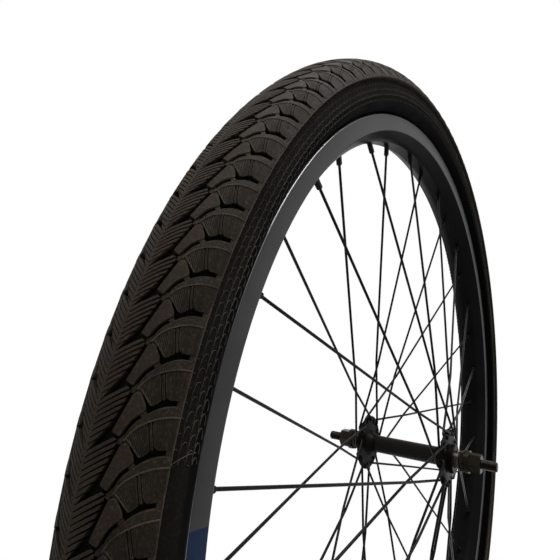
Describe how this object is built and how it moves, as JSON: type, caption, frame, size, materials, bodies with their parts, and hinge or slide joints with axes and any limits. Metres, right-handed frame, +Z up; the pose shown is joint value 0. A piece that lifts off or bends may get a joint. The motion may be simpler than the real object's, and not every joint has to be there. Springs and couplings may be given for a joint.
{
  "type": "bicycle tire on front wheel",
  "caption": "Chevron-treaded bicycle tire on a spoked black rim with a nutted front hub, cup-and-cone bearings, inner tube and valve.",
  "frame": {"origin": "centre of the wheel, on the axle, midway between the two rim flanges", "axes": "+Y along the axle towards the right-hand side, +Z up, the tread's arms trail as seen at the front of the wheel"},
  "size_m": [0.651, 0.15, 0.651],
  "materials": {
    "black_rubber": "matte moulded rubber",
    "butyl": "smooth butyl rubber",
    "strip_rubber": "matte rubber tape",
    "black_rim": "satin black anodized alloy",
    "black_hub": "gloss black",
    "black_spoke": "black coated steel",
    "bearing_steel": "ground bearing steel",
    "ball_steel": "polished balls",
    "axle_steel": "oiled dark steel",
    "nut_steel": "dark zinc plated steel",
    "wire_steel": "bronze coated bead wire",
    "brass": "turned brass",
    "black_plastic": "moulded black plastic"
  },
  "bodies": {
    "axle_assembly": {"axle": "axle_steel", "cone_left": "bearing_steel", "cone_right": "bearing_steel", "lock_washers": "nut_steel", "locknuts": "nut_steel", "fork_washers": "nut_steel", "axle_nuts": "nut_steel"},
    "ball_set_left": {"balls_left": "ball_steel", "retainer_left": "bearing_steel"},
    "ball_set_right": {"balls_right": "ball_steel", "retainer_right": "bearing_steel"},
    "wheel": {"hub_shell": "black_hub", "bearing_cup_left": "bearing_steel", "bearing_cup_right": "bearing_steel", "dust_cap_left": "black_hub", "dust_cap_right": "black_hub", "spokes_left_heads_in": "black_spoke", "spokes_left_heads_out": "black_spoke", "spokes_right_heads_in": "black_spoke", "spokes_right_heads_out": "black_spoke", "nipples": "black_spoke", "rim": "black_rim", "rim_strip": "strip_rubber", "inner_tube": "butyl", "bead_wire_left": "wire_steel", "bead_wire_right": "wire_steel", "tire_casing": "black_rubber", "tire_tread": "black_rubber", "valve_stem": "brass", "valve_core": "brass", "valve_nut": "brass"},
    "pin": {"valve_pin": "brass"},
    "cap": {"valve_cap": "black_plastic"}
  },
  "joints": [
    {"name": "wheel_spin", "type": "hinge", "parent": "axle_assembly", "child": "wheel", "pos_m": [0, 0, 0], "axis": [0, 1, 0], "continuous": true},
    {"name": "balls_left_roll", "type": "hinge", "parent": "axle_assembly", "child": "ball_set_left", "pos_m": [0, -0.0392, 0], "axis": [0, 1, 0], "continuous": true},
    {"name": "balls_right_roll", "type": "hinge", "parent": "axle_assembly", "child": "ball_set_right", "pos_m": [0, 0.0392, 0], "axis": [0, 1, 0], "continuous": true},
    {"name": "pin_press", "type": "slide", "parent": "wheel", "child": "pin", "axis": [0.1175, 0, -0.9931], "range_m": [0, 0.0012]},
    {"name": "cap_lift", "type": "slide", "parent": "wheel", "child": "cap", "axis": [-0.1175, 0, 0.9931], "range_m": [0, 0.02]}
  ],
  "couplings": [
    {"joint": "balls_left_roll", "follows": "wheel_spin", "ratio": 0.6238},
    {"joint": "balls_right_roll", "follows": "wheel_spin", "ratio": 0.6238}
  ]
}
